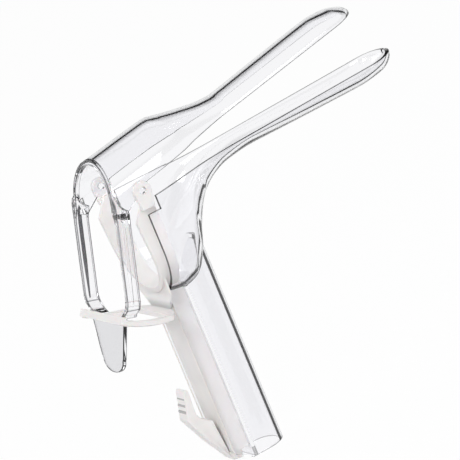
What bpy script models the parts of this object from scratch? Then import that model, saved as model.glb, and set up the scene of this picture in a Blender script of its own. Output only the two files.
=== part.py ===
"""Bivalve speculum of clear plastic, with a white sliding yoke.

X is across the instrument, +Y points along the blades, +Z points up. The handle hangs down.
The origin is at the handle's open bottom end, on the wall that parts the light's socket from
the yoke's channel. Each piece is drawn with the pivot above Y = 0, and then set at PIVOT_Y.
"""

import math

import bmesh
import bpy
from mathutils import Matrix, Vector

MM = 0.001

# Overall layout
PIVOT_HEIGHT = 118.5 * MM
UPPER_ANGLE = math.radians(10.4)
LOWER_ANGLE = math.radians(2.2)
SHELL_WALL = 1.6 * MM
SIDE_GAP = 0.3 * MM

# Upper blade and hood, measured from the pivot along the blade
HOOD_HALF = 18.6 * MM
UPPER_EDGE = 1.1 * MM
UPPER_LENGTH = 119.2 * MM
HOOD_CROWN = 15.6 * MM
HOOD_KINK = 24.0 * MM
HOOD_END = 48.5 * MM
BLADE_HALF = 12.0 * MM
UPPER_DEPTH = 6.2 * MM
EAR_RADIUS = 3.7 * MM
PIN_RADIUS = 1.7 * MM
PIN_CLEARANCE = 0.25 * MM

# Lever, in the tilted plane of the hood's rim
RIM_TILT = math.radians(16.5)
RIM_REACH = 13.1 * MM
RIM_DEPTH = 5.6 * MM
RIM_WALL = 2.4 * MM
LEVER_HALF = 21.5 * MM
LEG_WALL = 2.6 * MM
LEG_BOTTOM = 44.6 * MM
TAB_HALF = 15.6 * MM
TAB_TIP_HALF = 9.5 * MM
TAB_LENGTH = 20.6 * MM
TAB_THICKNESS = 2.4 * MM
GROOVE_DEPTH = 0.6 * MM

# Lower blade and barrel, measured from the pivot
LOWER_HALF = 20.6 * MM
LOWER_EDGE = -4.3 * MM
LOWER_LENGTH = 127.4 * MM
LOWER_DEPTH = 6.4 * MM
LIP_RISE = 0.8 * MM
BARREL_FRONT = -1.1 * MM
BARREL_DEPTH = 45.6 * MM
BARREL_LIP = 1.0 * MM
NOTCH_END = 4.5 * MM
NOTCH_DEPTH = 5.4 * MM

# Handle
HANDLE_HALF = 9.4 * MM
HANDLE_FRONT = -2.1 * MM
HANDLE_BACK = 22.2 * MM
HANDLE_RISE = 11.0 * MM
PARTITION = 5.6 * MM

# Yoke: arms, stem and ratchet shelf
BOSS_RADIUS = 3.8 * MM
BOSS_THICKNESS = 2.4 * MM
ARM_THICKNESS = 1.9 * MM
ARM_FRONT = -4.0 * MM
ARM_BACK = 3.2 * MM
TAB_DROP = 7.3 * MM
STEM_WALL = 1.8 * MM
STEM_FLANGE = 7.0 * MM
STEM_BOTTOM = 5.0 * MM
SHELF_WIDTH = 3.6 * MM
SHELF_WALL = 1.8 * MM
SHELF_HEIGHT = 3.8 * MM
SHELF_SKIRT = 3.4 * MM
SHELF_ARC_END = 8.2 * MM

# Thumb latch
LATCH_HALF = 4.0 * MM
LATCH_HINGE_HEIGHT = 5.2 * MM
LATCH_HEEL = (-13.2 * MM, 24.0 * MM)
LATCH_TOP = (-9.4 * MM, 36.0 * MM)
LATCH_CROTCH = (-3.3 * MM, 19.5 * MM)
RIB_COUNT = 3
RIB_PITCH = 2.6 * MM
RIB_RADIUS = 0.7 * MM

ARC_STEPS = 24
FINE_STEPS = 12
PIVOT_Y = -PARTITION - SHELL_WALL / 2
HANDLE_TOP = PIVOT_HEIGHT - BARREL_DEPTH + HANDLE_RISE


def clear_scene():
    for item in list(bpy.data.objects):
        bpy.data.objects.remove(item, do_unlink=True)


def material(name, colour, roughness, transmission):
    result = bpy.data.materials.new(name)
    result.use_nodes = True
    shader = result.node_tree.nodes["Principled BSDF"]
    shader.inputs["Base Color"].default_value = (*colour, 1)
    shader.inputs["Roughness"].default_value = roughness
    shader.inputs["Metallic"].default_value = 0
    shader.inputs["IOR"].default_value = 1.49
    shader.inputs["Transmission Weight"].default_value = transmission
    return result


def add_object(name, bm, surface=None):
    bmesh.ops.recalc_face_normals(bm, faces=bm.faces[:])
    mesh = bpy.data.meshes.new(name)
    bm.to_mesh(mesh)
    bm.free()
    if surface:
        mesh.materials.append(surface)
    item = bpy.data.objects.new(name, mesh)
    bpy.context.collection.objects.link(item)
    return item


def apply_modifiers(item):
    graph = bpy.context.evaluated_depsgraph_get()
    mesh = bpy.data.meshes.new_from_object(item.evaluated_get(graph))
    item.modifiers.clear()
    item.data = mesh


def combine(item, other, operation):
    """Boolean of two closed meshes; the second one is used up."""
    modifier = item.modifiers.new(operation, "BOOLEAN")
    modifier.operation = operation
    modifier.solver = "EXACT"
    modifier.object = other
    apply_modifiers(item)
    bpy.data.objects.remove(other, do_unlink=True)


def prism(name, outline, low, high, place):
    """Closed outline of (a, b) points, extruded from low to high; place maps (a, b, h) to a point."""
    bm = bmesh.new()
    bottom = [bm.verts.new(place(a, b, low)) for a, b in outline]
    top = [bm.verts.new(place(a, b, high)) for a, b in outline]
    count = len(outline)
    for i in range(count):
        j = (i + 1) % count
        bm.faces.new((bottom[i], bottom[j], top[j], top[i]))
    bm.faces.new(bottom)
    bm.faces.new(top)
    return add_object(name, bm)


def across(a, b, h):
    """Outline in the side view (Y, Z), extruded along X."""
    return (h, a, b)


def upright(a, b, h):
    """Outline in plan (X, Y), extruded along Z."""
    return (a, b, h)


def box(name, low, high):
    outline = [(low[0], low[1]), (high[0], low[1]), (high[0], high[1]), (low[0], high[1])]
    return prism(name, outline, low[2], high[2], upright)


def disc_outline(centre, radius, steps=ARC_STEPS):
    turns = [2 * math.pi * i / steps for i in range(steps)]
    return [(centre[0] + radius * math.cos(t), centre[1] + radius * math.sin(t)) for t in turns]


def smooth(rows, at):
    """Value at a place from (place, value) rows, by a curve without overshoot."""
    if at <= rows[0][0]:
        return rows[0][1]
    if at >= rows[-1][0]:
        return rows[-1][1]
    slopes = [(b[1] - a[1]) / (b[0] - a[0]) for a, b in zip(rows, rows[1:])]
    tangents = [slopes[0]]
    for a, b in zip(slopes, slopes[1:]):
        tangents.append(0.0 if a * b <= 0 else 2 * a * b / (a + b))
    tangents.append(slopes[-1])
    i = max(k for k in range(len(rows) - 1) if rows[k][0] <= at)
    width = rows[i + 1][0] - rows[i][0]
    t = (at - rows[i][0]) / width
    start, end = rows[i][1], rows[i + 1][1]
    return ((1 + 2 * t) * (1 - t) ** 2 * start + t * (1 - t) ** 2 * width * tangents[i]
            + t * t * (3 - 2 * t) * end + t * t * (t - 1) * width * tangents[i + 1])


def arch_section(half, height, power, steps=ARC_STEPS):
    """Points (x, h) over an arch that is half wide on each side and height tall."""
    points = []
    for i in range(steps + 1):
        turn = math.pi * i / steps
        c, s = math.cos(turn), math.sin(turn)
        x = -half * math.copysign(abs(c) ** (2 / power), c)
        points.append((x, height * s ** (2 / power)))
    return points


def trough_section(half, depth, steps):
    """Points (x, h) over a trough: straight walls as far as it is deeper than half, then a round bottom."""
    straight = max(depth - half, 0)
    dense = [(-half, straight * i / FINE_STEPS) for i in range(FINE_STEPS)]
    for x, h in arch_section(half, depth - straight, 2.2, 4 * FINE_STEPS):
        dense.append((x, straight + h))
    dense += [(half, straight * (1 - i / FINE_STEPS)) for i in range(1, FINE_STEPS + 1)]
    return evenly(dense, steps)


def evenly(points, steps):
    """Points at equal distances along a polyline."""
    reach = [0.0]
    for a, b in zip(points, points[1:]):
        reach.append(reach[-1] + math.dist(a, b))
    result = []
    k = 0
    for i in range(steps + 1):
        goal = reach[-1] * i / steps
        while k < len(points) - 2 and reach[k + 1] < goal:
            k += 1
        share = (goal - reach[k]) / max(reach[k + 1] - reach[k], 1e-12)
        a, b = points[k], points[k + 1]
        result.append((a[0] + (b[0] - a[0]) * share, a[1] + (b[1] - a[1]) * share))
    return result


def shell(name, rows, wall):
    """Open surface through rows of points, thickened inward to an even wall."""
    bm = bmesh.new()
    grid = [[bm.verts.new(p) for p in row] for row in rows]
    for low, high in zip(grid, grid[1:]):
        for i in range(len(low) - 1):
            bm.faces.new((low[i], low[i + 1], high[i + 1], high[i]))
    mesh = bpy.data.meshes.new(name)
    bm.normal_update()
    bm.to_mesh(mesh)
    bm.free()
    item = bpy.data.objects.new(name, mesh)
    bpy.context.collection.objects.link(item)
    solid = item.modifiers.new("wall", "SOLIDIFY")
    solid.thickness = wall
    solid.offset = -1
    solid.use_even_offset = True
    solid.use_rim = True
    apply_modifiers(item)
    return item


def lofted(name, loops):
    """Closed solid through closed loops with the same number of points, with flat ends."""
    bm = bmesh.new()
    grid = [[bm.verts.new(p) for p in loop] for loop in loops]
    count = len(grid[0])
    for low, high in zip(grid, grid[1:]):
        for i in range(count):
            j = (i + 1) % count
            bm.faces.new((low[i], low[j], high[j], high[i]))
    bm.faces.new(grid[0])
    bm.faces.new(grid[-1])
    return add_object(name, bm)


# Upper blade

RIM_SLOPE = math.tan(RIM_TILT + UPPER_ANGLE)
RIM_FOOT = -RIM_REACH


def rim_place(height):
    """Place along the blade of the rim's front face at a height above the pivot."""
    return RIM_FOOT + (height - UPPER_EDGE) * RIM_SLOPE


def upper_half(y):
    rows = [(0, HOOD_HALF), (HOOD_KINK * 0.6, HOOD_HALF * 0.985), (HOOD_KINK, HOOD_HALF * 0.92),
            (HOOD_END * 0.66, BLADE_HALF * 1.2), (HOOD_END, BLADE_HALF), (UPPER_LENGTH * 0.88, BLADE_HALF)]
    return smooth(rows, y) * tip_share(y, UPPER_LENGTH)


def tip_share(y, length):
    """Share of the blade's width that is left near its round tip."""
    round_length = BLADE_HALF * 1.15
    inside = (y - (length - round_length)) / round_length
    return 1.0 if inside <= 0 else math.sqrt(max(1 - inside ** 2.6, 0.0))


def upper_crown(y):
    fall = HOOD_END - HOOD_KINK
    rows = [(0, HOOD_CROWN), (HOOD_KINK, HOOD_CROWN * 0.96), (HOOD_KINK + 0.06 * fall, HOOD_CROWN * 0.93),
            (HOOD_KINK + 0.5 * fall, HOOD_CROWN * 0.67), (HOOD_END, UPPER_DEPTH * 1.08),
            (HOOD_END * 1.12, UPPER_DEPTH * 0.94), (UPPER_LENGTH * 0.65, UPPER_DEPTH),
            (UPPER_LENGTH * 0.86, UPPER_DEPTH * 1.05), (UPPER_LENGTH * 0.94, UPPER_DEPTH * 0.84),
            (UPPER_LENGTH * 0.985, UPPER_DEPTH * 0.45), (UPPER_LENGTH, UPPER_DEPTH * 0.15)]
    return smooth(rows, y)


def blade_places(length, start, steps):
    """Places along a blade, closer together toward its tip."""
    return [start + (length - start) * math.sin(0.5 * math.pi * i / steps) ** 1.15 for i in range(steps)]


def upper_rows():
    rows = []
    for y in blade_places(UPPER_LENGTH * 0.9985, 0, 26):
        lean = max(0.0, 1 - y / HOOD_KINK)
        row = []
        for x, h in arch_section(upper_half(y), upper_crown(y), 2.0):
            rim = rim_place(UPPER_EDGE + h)
            row.append((x, y + lean * (rim + 1.5 * MM), UPPER_EDGE + h))
        rows.append(row)
    row = [(x * 0.3, UPPER_LENGTH, z) for x, y, z in rows[-1]]
    rows.append(row)
    return rows


def plane_point(x, down, out):
    """Point in the rim's tilted plane: across, down the lever from the pivot's height, and out behind it."""
    tilt = RIM_TILT + UPPER_ANGLE
    y = RIM_FOOT - down * math.sin(tilt) + out * math.cos(tilt)
    z = UPPER_EDGE - down * math.cos(tilt) - out * math.sin(tilt)
    return (x, y, z)


def rim_arch(half, height, steps=ARC_STEPS):
    return [(x, -h) for x, h in arch_section(half, height, 2.0, steps)]


def rim_band():
    """The thick rim of the hood."""
    height = HOOD_CROWN / math.cos(RIM_TILT + UPPER_ANGLE)
    outer = rim_arch(HOOD_HALF + 0.2 * MM, height + 0.2 * MM)
    inner = rim_arch(HOOD_HALF - RIM_WALL, height - RIM_WALL)
    outline = outer + inner[::-1]
    return prism("rim", outline, 0, RIM_DEPTH, lambda a, b, h: plane_point(a, b, h))


def lever_outline():
    """Outer outline of the lever, from the right leg's top round the tab to the left leg's top."""
    right = [(LEVER_HALF, -3 * MM), (LEVER_HALF, LEG_BOTTOM - 7 * MM), (LEVER_HALF - 1.2 * MM, LEG_BOTTOM - 4 * MM),
             (TAB_HALF + 1 * MM, LEG_BOTTOM - 1.5 * MM), (TAB_HALF, LEG_BOTTOM + 0.5 * MM),
             (TAB_TIP_HALF + 0.8 * MM, LEG_BOTTOM + TAB_LENGTH - 6 * MM)]
    tip = []
    for i in range(9):
        turn = math.pi * i / 8
        tip.append((TAB_TIP_HALF * math.cos(turn), LEG_BOTTOM + TAB_LENGTH - 5 * MM + 5 * MM * math.sin(turn)))
    return right + tip + [(-x, d) for x, d in reversed(right)]


def window_outline():
    """The slot between the lever's legs, round at its bottom."""
    half = LEVER_HALF - LEG_WALL
    side = LEG_BOTTOM - 9 * MM
    points = [(half, -8 * MM), (half, side)]
    for i in range(1, 12):
        turn = math.pi * i / 12
        points.append((half * math.cos(turn), side + 9 * MM * math.sin(turn)))
    return points + [(-half, side), (-half, -8 * MM)]


def lever():
    plate = prism("lever", lever_outline(), 0, RIM_DEPTH, plane_point)
    combine(plate, prism("window", window_outline(), -1 * MM, RIM_DEPTH + 1 * MM, plane_point), "DIFFERENCE")
    behind = [(-TAB_HALF - 9 * MM, LEG_BOTTOM - 1.5 * MM), (TAB_HALF + 9 * MM, LEG_BOTTOM - 1.5 * MM),
              (TAB_HALF + 9 * MM, LEG_BOTTOM + TAB_LENGTH + 5 * MM), (-TAB_HALF - 9 * MM, LEG_BOTTOM + TAB_LENGTH + 5 * MM)]
    combine(plate, prism("behind", behind, TAB_THICKNESS, RIM_DEPTH + 2 * MM, plane_point), "DIFFERENCE")
    for side in (-1, 1):
        combine(plate, leg_groove(side), "DIFFERENCE")
    return plate


def leg_groove(side):
    """Cutter for the long groove on a leg's outer face."""
    near, far = RIM_DEPTH * 0.26, RIM_DEPTH * 0.56
    top, bottom = 9 * MM, LEG_BOTTOM - 9 * MM
    outline = [(top, near), (bottom, near), (bottom + 1 * MM, (near + far) / 2), (bottom, far), (top, far)]
    low, high = sorted((side * (LEVER_HALF - GROOVE_DEPTH), side * (LEVER_HALF + 1 * MM)))
    return prism("groove", outline, low, high, lambda a, b, h: plane_point(h, a, b))


def ear(side):
    """Side plate that carries the pivot pin and joins the hood's foot to the lever's leg."""
    inner = HOOD_HALF - SHELL_WALL
    front_top = plane_point(0, 0, 0.6 * MM)
    front_low = plane_point(0, 6 * MM, 0.6 * MM)
    outline = [(front_top[1], UPPER_EDGE + 0.8 * MM), (front_low[1], front_low[2])]
    back_low = plane_point(0, 4.5 * MM, RIM_DEPTH - 0.5 * MM)
    outline.append((back_low[1], back_low[2]))
    for i in range(9):
        turn = math.radians(-150 + 20 * i)
        outline.append((EAR_RADIUS * math.cos(turn), EAR_RADIUS * math.sin(turn)))
    outline.append((EAR_RADIUS + 2 * MM, UPPER_EDGE + 0.8 * MM))
    low, high = sorted((side * inner, side * (HOOD_HALF - 0.1 * MM)))
    plate = prism("ear", outline, low, high, across)
    reach = HOOD_HALF + SIDE_GAP + BOSS_THICKNESS - 0.6 * MM
    low, high = sorted((side * (inner + 0.5 * MM), side * reach))
    combine(plate, prism("pin", disc_outline((0, 0), PIN_RADIUS, 16), low, high, across), "UNION")
    return plate


def leg_root(side):
    """Block that steps the leg outward from the ear's plate."""
    corners = [plane_point(0, 0.5 * MM, 0.8 * MM), plane_point(0, 6.8 * MM, 0.8 * MM),
               plane_point(0, 6.8 * MM, RIM_DEPTH - 0.8 * MM), plane_point(0, 0.5 * MM, RIM_DEPTH - 0.8 * MM)]
    outline = [(p[1], p[2]) for p in corners]
    low, high = sorted((side * (HOOD_HALF - SHELL_WALL + 0.2 * MM), side * (LEVER_HALF - 0.4 * MM)))
    return prism("root", outline, low, high, across)


def upper_blade(surface):
    body = shell("upper_blade", upper_rows(), SHELL_WALL)
    combine(body, rim_band(), "UNION")
    combine(body, lever(), "UNION")
    for side in (-1, 1):
        combine(body, ear(side), "UNION")
        combine(body, leg_root(side), "UNION")
    body.location = (0, PIVOT_Y, PIVOT_HEIGHT)
    body.rotation_euler = (UPPER_ANGLE, 0, 0)
    body.data.materials.clear()
    body.data.materials.append(surface)
    return body


# Lower blade, barrel and handle

def lower_edge(y):
    """Height of the blade's top edge, which curls up at the tip."""
    curl = max(0.0, (y / LOWER_LENGTH - 0.9) / 0.1)
    return LOWER_EDGE + math.tan(LOWER_ANGLE) * y + LIP_RISE * curl ** 1.5


def lower_half(y):
    rows = [(BARREL_FRONT, LOWER_HALF), (NOTCH_END, LOWER_HALF), (12 * MM, LOWER_HALF * 0.93),
            (22 * MM, LOWER_HALF * 0.78), (36 * MM, BLADE_HALF * 1.06), (48 * MM, BLADE_HALF),
            (LOWER_LENGTH * 0.88, BLADE_HALF)]
    return smooth(rows, y) * tip_share(y, LOWER_LENGTH)


def lower_floor(y):
    """Height of the outer surface's lowest line."""
    rows = [(BARREL_FRONT, -BARREL_DEPTH + BARREL_LIP), (6 * MM, -BARREL_DEPTH), (12.5 * MM, -BARREL_DEPTH + 1.6 * MM)]
    for place, share in ((16.8, 0.845), (20.2, 0.67), (24.6, 0.497), (29.3, 0.366), (35.2, 0.262)):
        rows.append((place * MM, -BARREL_DEPTH * share))
    for share, depth in ((0.335, 0.97), (0.44, 0.8), (0.63, 0.97), (0.84, 1.12), (0.94, 0.98), (0.985, 0.6), (1, 0.35)):
        rows.append((LOWER_LENGTH * share, lower_edge(LOWER_LENGTH * share) - LOWER_DEPTH * depth))
    return smooth(rows, y)


def lower_places():
    barrel = [BARREL_FRONT + (31 * MM - BARREL_FRONT) * i / 14 for i in range(14)]
    return barrel + blade_places(LOWER_LENGTH * 0.9985, 31 * MM, 20)


def lower_rows(inset):
    """Sections of the lower blade's outer surface, moved in by inset."""
    rows = []
    for y in lower_places():
        top = lower_edge(y)
        depth = top - lower_floor(y) - inset
        row = []
        for x, h in trough_section(lower_half(y) - inset, depth, ARC_STEPS + 4):
            row.append((x, y, top - h))
        rows.append(row)
    if inset == 0:
        rows.append([(x * 0.3, LOWER_LENGTH, z) for x, y, z in rows[-1]])
    return [[(x, y, z + PIVOT_HEIGHT) for x, y, z in reversed(row)] for row in rows]


def barrel_space():
    """Solid that fills the barrel to the middle of its wall."""
    loops = []
    for row in lower_rows(SHELL_WALL / 2):
        if row[0][1] > 40 * MM:
            break
        lift = Vector((0, 0, 30 * MM))
        loops.append([Vector(row[0]) + lift] + [Vector(p) for p in row] + [Vector(row[-1]) + lift])
    loops[0] = [p - Vector((0, 6 * MM, 0)) for p in loops[0]]
    return lofted("space", loops)


def tube_outline(half, front, back, steps=14):
    """Plan of the handle: two flat sides and a round back."""
    centre = back - half
    points = [(-half, front), (half, front)]
    for i in range(steps + 1):
        turn = math.pi * i / steps
        points.append((half * math.cos(turn), centre + half * math.sin(turn)))
    return points


def handle():
    tube = prism("handle", tube_outline(HANDLE_HALF, HANDLE_FRONT, HANDLE_BACK), 0, HANDLE_TOP, upright)
    inner = HANDLE_HALF - SHELL_WALL
    bore = tube_outline(inner, PARTITION + SHELL_WALL, HANDLE_BACK - SHELL_WALL)
    combine(tube, prism("bore", bore, -1 * MM, HANDLE_TOP - SHELL_WALL, upright), "DIFFERENCE")
    channel = [(-inner, HANDLE_FRONT - 1 * MM), (inner, HANDLE_FRONT - 1 * MM), (inner, PARTITION), (-inner, PARTITION)]
    combine(tube, prism("channel", channel, -1 * MM, HANDLE_TOP + 1 * MM, upright), "DIFFERENCE")
    corner = [(HANDLE_FRONT - 1 * MM, -1 * MM), (PARTITION - 0.8 * MM, -1 * MM), (PARTITION - 1.2 * MM, 0.6 * MM),
              (PARTITION - 3.2 * MM, 2.2 * MM), (HANDLE_FRONT + 1.2 * MM, 4.0 * MM), (HANDLE_FRONT - 1 * MM, 4.6 * MM)]
    combine(tube, prism("corner", corner, -HANDLE_HALF - 1 * MM, HANDLE_HALF + 1 * MM, across), "DIFFERENCE")
    combine(tube, barrel_space(), "DIFFERENCE")
    return tube


def lower_blade(surface):
    body = shell("lower_blade", lower_rows(0), SHELL_WALL)
    combine(body, handle(), "UNION")
    low = (-LOWER_HALF - 2 * MM, BARREL_FRONT - 2 * MM, PIVOT_HEIGHT + LOWER_EDGE - NOTCH_DEPTH)
    high = (LOWER_HALF + 2 * MM, NOTCH_END, PIVOT_HEIGHT + 4 * MM)
    combine(body, box("notch", low, high), "DIFFERENCE")
    inner = HANDLE_HALF - SHELL_WALL
    slot_low = (-inner, BARREL_FRONT - 3 * MM, PIVOT_HEIGHT - BARREL_DEPTH - 6 * MM)
    slot_high = (inner, PARTITION, PIVOT_HEIGHT - BARREL_DEPTH + 12 * MM)
    combine(body, box("slot", slot_low, slot_high), "DIFFERENCE")
    body.location.y = PIVOT_Y
    body.data.materials.clear()
    body.data.materials.append(surface)
    return body


# Yoke

ARM_OUTER = LOWER_HALF - SHELL_WALL - SIDE_GAP
STEM_HALF = HANDLE_HALF - SHELL_WALL - SIDE_GAP
WEB_HALF = ARM_OUTER * 0.84
YOKE_FLOOR = BARREL_DEPTH - BARREL_LIP - SHELL_WALL - SIDE_GAP


def yoke_band():
    """Two arms that run down the barrel's walls and join in a round bottom."""
    top = EAR_RADIUS + SIDE_GAP
    outer = trough_section(ARM_OUTER, YOKE_FLOOR - top, 2 * ARC_STEPS)
    inner = trough_section(ARM_OUTER - ARM_THICKNESS, YOKE_FLOOR - ARM_THICKNESS - top, 2 * ARC_STEPS)
    outline = [(x, PIVOT_HEIGHT - top - h) for x, h in outer + inner[::-1]]
    band = prism("yoke", outline, ARM_FRONT, ARM_BACK, lambda a, b, h: (a, h, b))
    corner = [(ARM_FRONT - 1 * MM, PIVOT_HEIGHT - TAB_DROP - 3 * MM), (ARM_FRONT + 3.4 * MM, PIVOT_HEIGHT - top + 0.6 * MM),
              (ARM_FRONT - 1 * MM, PIVOT_HEIGHT - top + 0.6 * MM)]
    combine(band, prism("corner", corner, -ARM_OUTER - 1 * MM, ARM_OUTER + 1 * MM, across), "DIFFERENCE")
    return band


def boss(side):
    """Round ear with its hole, and the tab that joins it to the arm inside."""
    centre = (0, PIVOT_HEIGHT)
    inner = HOOD_HALF + SIDE_GAP
    outer = inner + BOSS_THICKNESS
    outline = []
    for i in range(13):
        turn = math.radians(-10 + 200 * i / 12)
        outline.append((BOSS_RADIUS * math.cos(turn), PIVOT_HEIGHT + BOSS_RADIUS * math.sin(turn)))
    outline += [(ARM_FRONT + 1.2 * MM, PIVOT_HEIGHT - TAB_DROP), (ARM_BACK - 0.6 * MM, PIVOT_HEIGHT - TAB_DROP)]
    low, high = sorted((side * inner, side * outer))
    plate = prism("boss", outline, low, high, across)
    foot_low, foot_high = PIVOT_HEIGHT - TAB_DROP + 0.3 * MM, PIVOT_HEIGHT - EAR_RADIUS - 2 * SIDE_GAP
    foot_front, foot_back = ARM_FRONT + 1.5 * MM, ARM_BACK - 0.9 * MM
    foot = [(foot_front, foot_low), (foot_back, foot_low), (foot_back, foot_high), (foot_front, foot_high)]
    low, high = sorted((side * (ARM_OUTER - 1 * MM), side * (outer - 0.5 * MM)))
    combine(plate, prism("foot", foot, low, high, across), "UNION")
    hole = disc_outline(centre, PIN_RADIUS + PIN_CLEARANCE, 16)
    low, high = sorted((side * (inner - 0.15 * MM), side * (outer + 1 * MM)))
    combine(plate, prism("hole", hole, low, high, across), "DIFFERENCE")
    return plate


def front_web():
    """Wall below the band's round bottom, from the band down to the shelf."""
    top = EAR_RADIUS + SIDE_GAP
    middle = trough_section(ARM_OUTER - ARM_THICKNESS / 2, YOKE_FLOOR - ARM_THICKNESS / 2 - top, 2 * ARC_STEPS)
    rise = [(x, PIVOT_HEIGHT - top - h) for x, h in middle if abs(x) < WEB_HALF]
    shelf_height = shelf_start().length + 1.2 * MM
    outline = rise + [(WEB_HALF * 0.92, PIVOT_HEIGHT - YOKE_FLOOR - 0.5 * MM), (STEM_HALF + 0.6 * MM, PIVOT_HEIGHT - shelf_height),
                      (-STEM_HALF - 0.6 * MM, PIVOT_HEIGHT - shelf_height), (-WEB_HALF * 0.92, PIVOT_HEIGHT - YOKE_FLOOR - 0.5 * MM)]
    return prism("web", outline, ARM_FRONT + 0.5 * MM, HANDLE_FRONT - 0.7 * MM, lambda a, b, h: (a, h, b))


def stem():
    """Channel that slides in the handle, open toward the back."""
    half = STEM_HALF
    front = HANDLE_FRONT + 0.4 * MM
    outline = [(-half, front), (half, front), (half, front + STEM_FLANGE), (half - STEM_WALL, front + STEM_FLANGE),
               (half - STEM_WALL, front + STEM_WALL), (-half + STEM_WALL, front + STEM_WALL),
               (-half + STEM_WALL, front + STEM_FLANGE), (-half, front + STEM_FLANGE)]
    return prism("stem", outline, STEM_BOTTOM, PIVOT_HEIGHT - YOKE_FLOOR + 1.2 * MM, upright)


def shelf_point(x, turn, radius):
    """Point on the ratchet shelf: across, angle in front of the vertical, and distance from the pivot."""
    return (x, -radius * math.sin(turn), PIVOT_HEIGHT - radius * math.cos(turn))


def shelf_start():
    """Point of the lever's front face, as (Y, Z) from the pivot, where it meets the shelf."""
    point = plane_point(0, LEG_BOTTOM - 1.0 * MM, 0)
    return Vector((point[1], point[2]))


def shelf_skirt(side, loops, low, high):
    """Wall that hangs from the shelf's outer edge, following the edge of the plate's loops."""
    walls = []
    for loop in loops:
        half = loop[1][0] - 0.5 * MM
        turn = math.atan2(-loop[1][1], PIVOT_HEIGHT - loop[1][2])
        if loop in (loops[0], loops[-1]):
            turn += 0.3 * MM / low
        outer, inner = side * half, side * (half - SHELF_WALL * 0.8)
        walls.append([shelf_point(outer, turn, low), shelf_point(inner, turn, low),
                      shelf_point(inner, turn, high), shelf_point(outer, turn, high)])
    return lofted("skirt", walls)


def ratchet_shelf():
    """Frame on an arc about the pivot; the lever's tab passes through it."""
    start = shelf_start()
    turned = math.atan2(-start.x, -start.y) - UPPER_ANGLE
    radius = start.length
    bar_turn = turned + (SIDE_GAP + 0.4 * MM) / radius
    end_turn = bar_turn + SHELF_WALL / radius
    outer_half = LEVER_HALF - 1.7 * MM
    inner_half = outer_half - SHELF_WIDTH
    low, high = radius + 0.6 * MM, radius + 0.6 * MM + SHELF_WALL
    steps = 10
    root_half = STEM_HALF - 0.4 * MM
    first = math.asin((-HANDLE_FRONT - 1.0 * MM) / radius)
    wide = math.asin(SHELF_ARC_END / radius)
    last = (bar_turn + end_turn) / 2
    clear = math.asin((-HANDLE_FRONT + SIDE_GAP) / radius)
    turns = [first] + [clear + (last - clear) * i / steps for i in range(steps + 1)]
    loops_out = []
    for turn in turns:
        share = min(max((turn - clear) / (wide - clear), 0), 1)
        share = math.sin(share * math.pi / 2)
        half = root_half + (outer_half - root_half) * share
        loops_out.append([shelf_point(-half, turn, low), shelf_point(half, turn, low),
                          shelf_point(half, turn, high), shelf_point(-half, turn, high)])
    plate = lofted("shelf", loops_out)
    for side in (-1, 1):
        combine(plate, shelf_skirt(side, loops_out[1:], radius + 0.9 * MM, radius + 0.6 * MM + SHELF_SKIRT), "UNION")
    window = []
    for i in range(steps + 1):
        turn = wide + (last - wide) * i / steps
        window.append([shelf_point(-inner_half, turn, low - 2 * MM), shelf_point(inner_half, turn, low - 2 * MM),
                       shelf_point(inner_half, turn, high + 2 * MM), shelf_point(-inner_half, turn, high + 2 * MM)])
    combine(plate, lofted("window", window), "DIFFERENCE")
    bar_half = outer_half + 0.2 * MM
    top, bottom = low - 1.2 * MM, low - 1.2 * MM + SHELF_HEIGHT
    bar = []
    for turn in (bar_turn, end_turn):
        bar.append([shelf_point(-bar_half, turn, top), shelf_point(bar_half, turn, top),
                    shelf_point(bar_half, turn, bottom), shelf_point(-bar_half, turn, bottom)])
    combine(plate, lofted("bar", bar), "UNION")
    return plate


def yoke(surface):
    body = yoke_band()
    for side in (-1, 1):
        combine(body, boss(side), "UNION")
    combine(body, stem(), "UNION")
    combine(body, front_web(), "UNION")
    combine(body, ratchet_shelf(), "UNION")
    body.location.y = PIVOT_Y
    body.data.materials.clear()
    body.data.materials.append(surface)
    return body


# Thumb latch

def thumb_latch(surface):
    """Foot under the yoke's stem, with a ribbed pad to press."""
    hinge = Vector((0, HANDLE_FRONT + 1.4 * MM, LATCH_HINGE_HEIGHT))
    front = HANDLE_FRONT + 0.4 * MM - SIDE_GAP
    root = STEM_BOTTOM - SIDE_GAP
    outline = [(3.0 * MM, 0.3 * MM), (-1.2 * MM, 1.0 * MM), (-7.8 * MM, 12.5 * MM), LATCH_HEEL,
               (LATCH_HEEL[0] + 0.8 * MM, LATCH_HEEL[1] + 2.5 * MM), (LATCH_TOP[0] - 0.6 * MM, LATCH_TOP[1] - 0.6 * MM),
               LATCH_TOP, (LATCH_TOP[0] + 1.4 * MM, LATCH_TOP[1] - 0.8 * MM), (-8.6 * MM, 25 * MM),
               (-7.4 * MM, 22.6 * MM), LATCH_CROTCH, (front, root + 1.5 * MM), (front, root), (3.0 * MM, root)]
    body = prism("thumb_latch", outline, -LATCH_HALF, LATCH_HALF, across)
    run = Vector((LATCH_TOP[0] - LATCH_HEEL[0], LATCH_TOP[1] - LATCH_HEEL[1])).normalized()
    for i in range(RIB_COUNT):
        along = 3.4 * MM + i * RIB_PITCH
        centre = (LATCH_HEEL[0] + run.x * along + 0.5 * MM, LATCH_HEEL[1] + run.y * along)
        rib = prism("rib", disc_outline(centre, RIB_RADIUS, 12), -LATCH_HALF + 0.8 * MM, LATCH_HALF - 0.8 * MM, across)
        combine(body, rib, "UNION")
    body.data.materials.clear()
    body.data.materials.append(surface)
    body.data.transform(Matrix.Translation(-hinge))
    body.location = hinge + Vector((0, PIVOT_Y, 0))
    return body


def build():
    clear_scene()
    clear = material("clear_plastic", (0.93, 0.94, 0.96), 0.05, 1.0)
    white = material("white_plastic", (0.86, 0.84, 0.82), 0.35, 0.0)
    lower_blade(clear)
    upper_blade(clear)
    yoke(white)
    thumb_latch(white)


build()
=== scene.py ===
import math

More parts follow.
